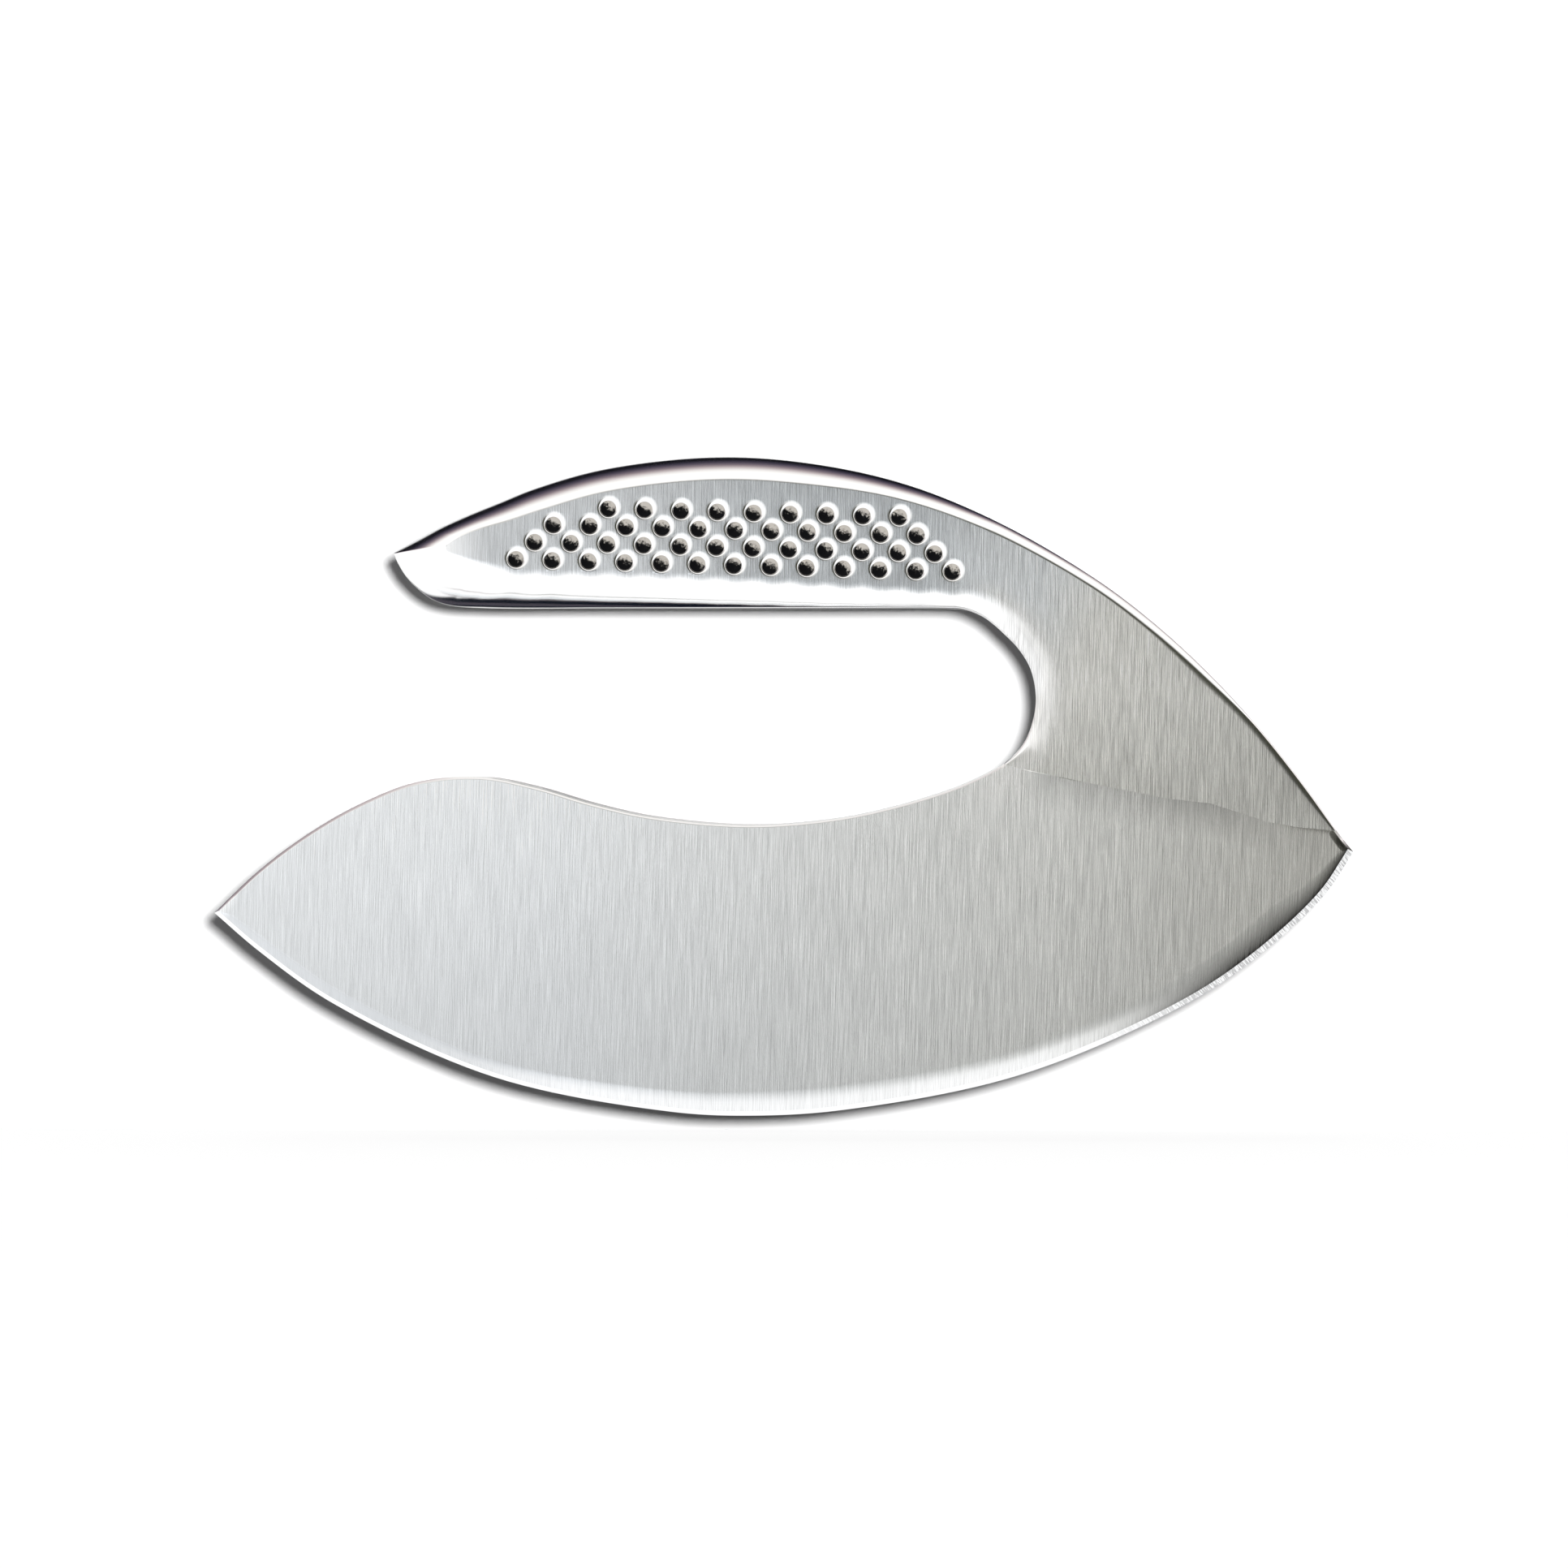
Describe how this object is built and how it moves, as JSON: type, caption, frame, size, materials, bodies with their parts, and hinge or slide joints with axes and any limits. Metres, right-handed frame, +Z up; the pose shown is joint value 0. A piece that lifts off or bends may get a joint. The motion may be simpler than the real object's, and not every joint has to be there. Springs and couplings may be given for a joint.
{
  "type": "double mezzaluna",
  "caption": "Rocking chopper with parallel crescent steel blades under a hollow dimpled steel handle, for mincing herbs.",
  "frame": {"origin": "centre of the object's box, at the lowest points of the two cutting edges", "axes": "+Z up from the edges to the handle, +X along the blades from their free tips to the neck, +Y from the front blade to the rear blade"},
  "size_m": [0.18, 0.016, 0.1044],
  "materials": {
    "handle_steel": "satin stainless steel, fine vertical brushing on the flat faces, smoother on the rounded shoulders",
    "blade_steel": "satin stainless steel, fine vertical brushing, polished bevel along the cutting edge",
    "floor_steel": "plain mill finish",
    "sand": "loose dry sand"
  },
  "bodies": {
    "root": {"front_handle_shell": "handle_steel", "rear_handle_shell": "handle_steel", "front_blade": "blade_steel", "rear_blade": "blade_steel", "neck_floor": "floor_steel", "sand_fill": "sand"}
  },
  "joints": []
}
